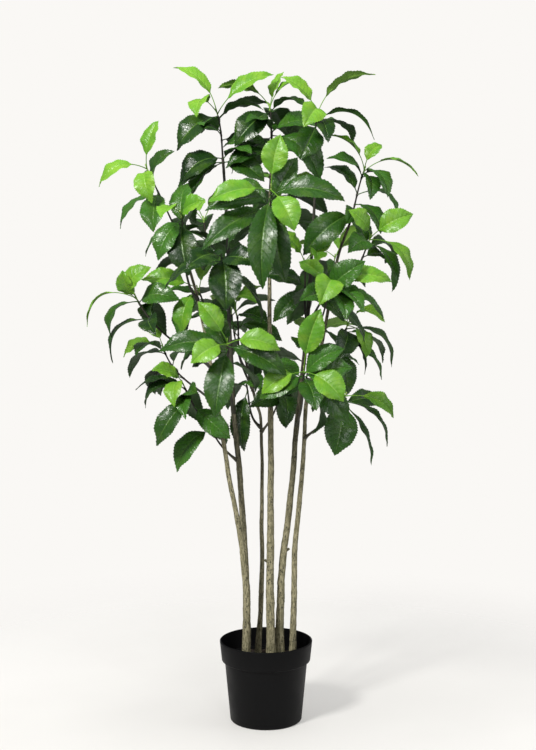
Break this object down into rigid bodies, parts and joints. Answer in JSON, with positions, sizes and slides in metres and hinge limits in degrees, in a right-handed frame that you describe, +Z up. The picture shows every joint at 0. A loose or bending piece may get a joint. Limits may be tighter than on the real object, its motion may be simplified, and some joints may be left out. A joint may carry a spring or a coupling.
{
  "type": "potted avocado tree",
  "caption": "Potted avocado tree with slender bare stems and tiers of toothed leaves, standing in a round black nursery pot of soil.",
  "frame": {"origin": "on the floor under the middle of the pot, at the pad in the middle of the pot's underside", "axes": "+Z up along the pot's axis, -Y towards the viewer of the reference picture, +X to that viewer's right"},
  "size_m": [0.7427, 0.7116, 1.4861],
  "materials": {
    "pot_plastic": "matte",
    "soil": "matte",
    "bark": "matte",
    "leaf_mature": "satin",
    "leaf_young": "satin"
  },
  "bodies": {
    "root": {"pot": "pot_plastic", "soil": "soil", "stem_back": "bark", "stem_centre": "bark", "stem_left_inner": "bark", "stem_left_outer": "bark", "stem_right": "bark", "stem_right_inner": "bark", "mature_back_high": "leaf_mature", "mature_back_left": "leaf_mature", "mature_back_low": "leaf_mature", "mature_back_middle": "leaf_mature", "mature_back_right": "leaf_mature", "mature_front_high": "leaf_mature", "mature_front_left": "leaf_mature", "mature_front_low_left": "leaf_mature", "mature_front_low_right": "leaf_mature", "mature_front_right": "leaf_mature", "mature_inner_left": "leaf_mature", "mature_inner_middle": "leaf_mature", "mature_inner_right": "leaf_mature", "mature_left_back": "leaf_mature", "mature_left_high": "leaf_mature", "mature_left_low": "leaf_mature", "mature_left_middle": "leaf_mature", "mature_left_upper": "leaf_mature", "mature_low_left": "leaf_mature", "mature_low_middle": "leaf_mature", "mature_low_right": "leaf_mature", "mature_right_high": "leaf_mature", "mature_right_low": "leaf_mature", "mature_right_middle": "leaf_mature", "mature_right_outer": "leaf_mature", "mature_top_left": "leaf_mature", "mature_top_middle": "leaf_mature", "mature_top_right": "leaf_mature", "young_back_high": "leaf_young", "young_back_left": "leaf_young", "young_back_low": "leaf_young", "young_back_middle": "leaf_young", "young_back_right": "leaf_young", "young_front_high": "leaf_young", "young_front_low_left": "leaf_young", "young_front_low_right": "leaf_young", "young_front_right": "leaf_young", "young_inner_left": "leaf_young", "young_inner_middle": "leaf_young", "young_inner_right": "leaf_young", "young_left_back": "leaf_young", "young_left_high": "leaf_young", "young_left_low": "leaf_young", "young_left_middle": "leaf_young", "young_left_upper": "leaf_young", "young_right_high": "leaf_young", "young_right_low": "leaf_young", "young_right_middle": "leaf_young", "young_right_outer": "leaf_young", "young_top_left": "leaf_young", "young_top_middle": "leaf_young", "young_top_right": "leaf_young"}
  },
  "joints": []
}
